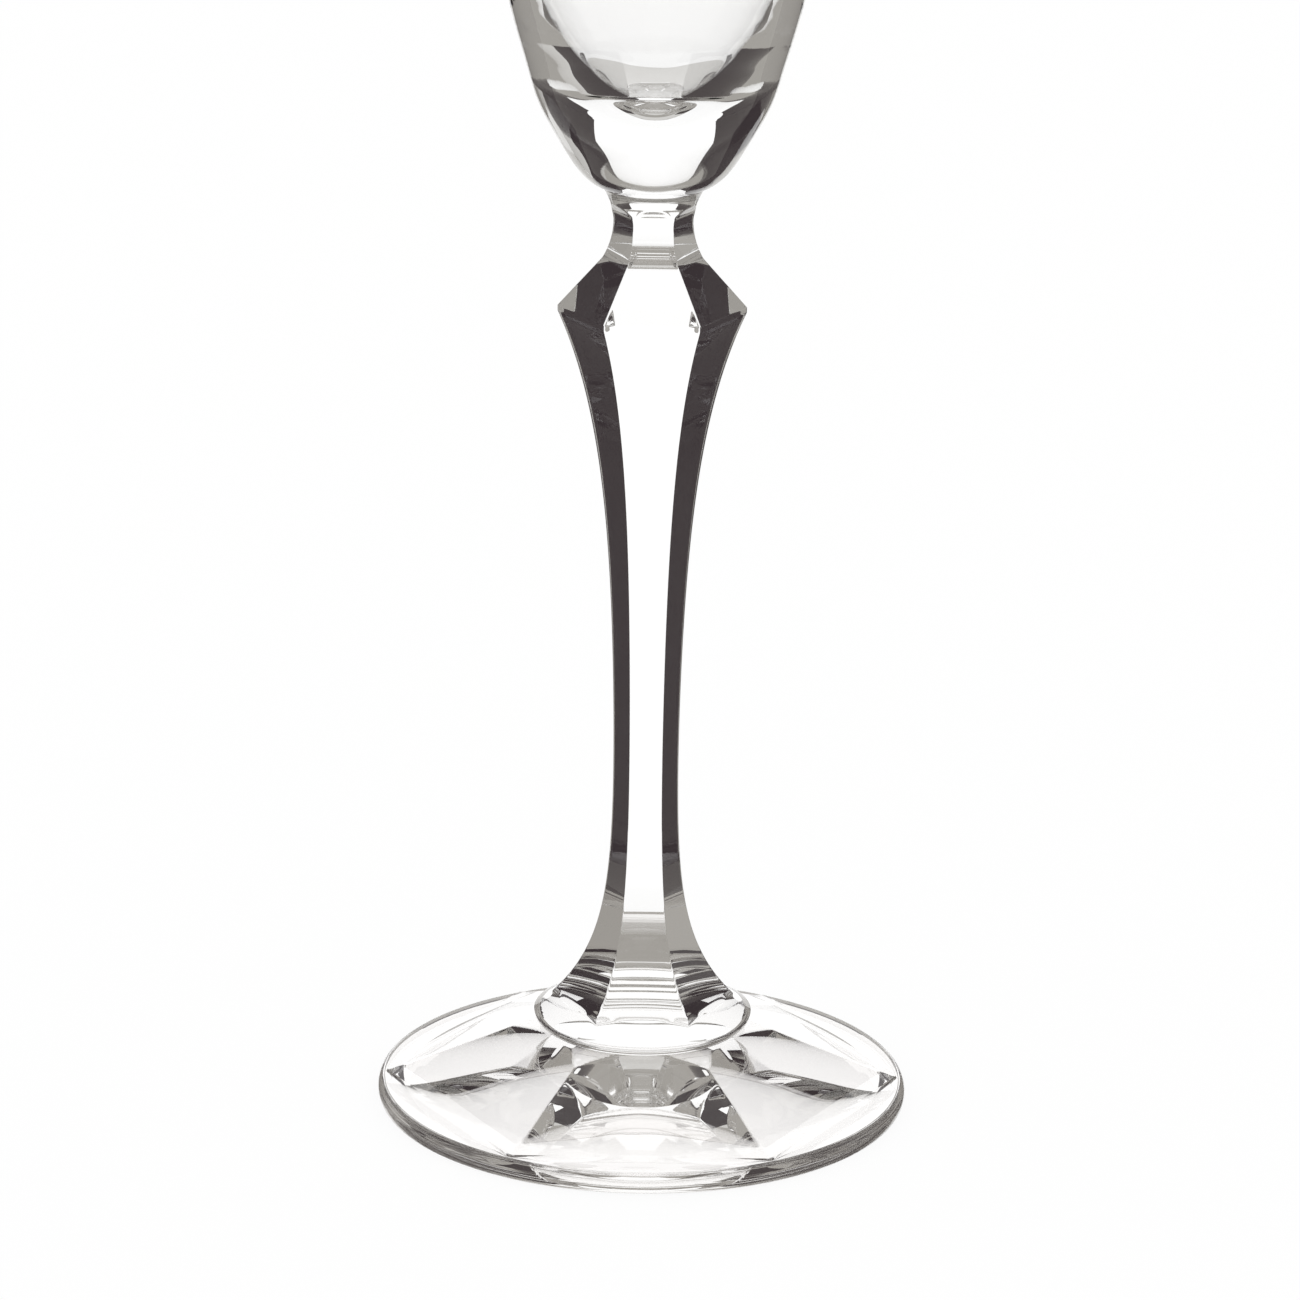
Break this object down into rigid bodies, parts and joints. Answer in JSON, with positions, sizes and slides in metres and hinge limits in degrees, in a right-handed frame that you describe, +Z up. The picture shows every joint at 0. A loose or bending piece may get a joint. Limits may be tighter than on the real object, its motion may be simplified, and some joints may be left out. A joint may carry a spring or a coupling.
{
  "type": "champagne flute",
  "caption": "Tall clear champagne flute: plain tulip bowl with a thick base, faceted waisted stem with a knop, and a round foot with six cut panels.",
  "frame": {"origin": "centre of the ring that the foot stands on, at table level", "axes": "+Z up along the axis of the glass; one flat of the stem faces -Y, towards the picture's viewer; +X to the viewer's right"},
  "size_m": [0.07, 0.07, 0.245],
  "materials": {
    "crystal": "clear, fire-polished"
  },
  "bodies": {
    "root": {"bowl": "crystal", "stem": "crystal", "foot": "crystal"}
  },
  "joints": []
}
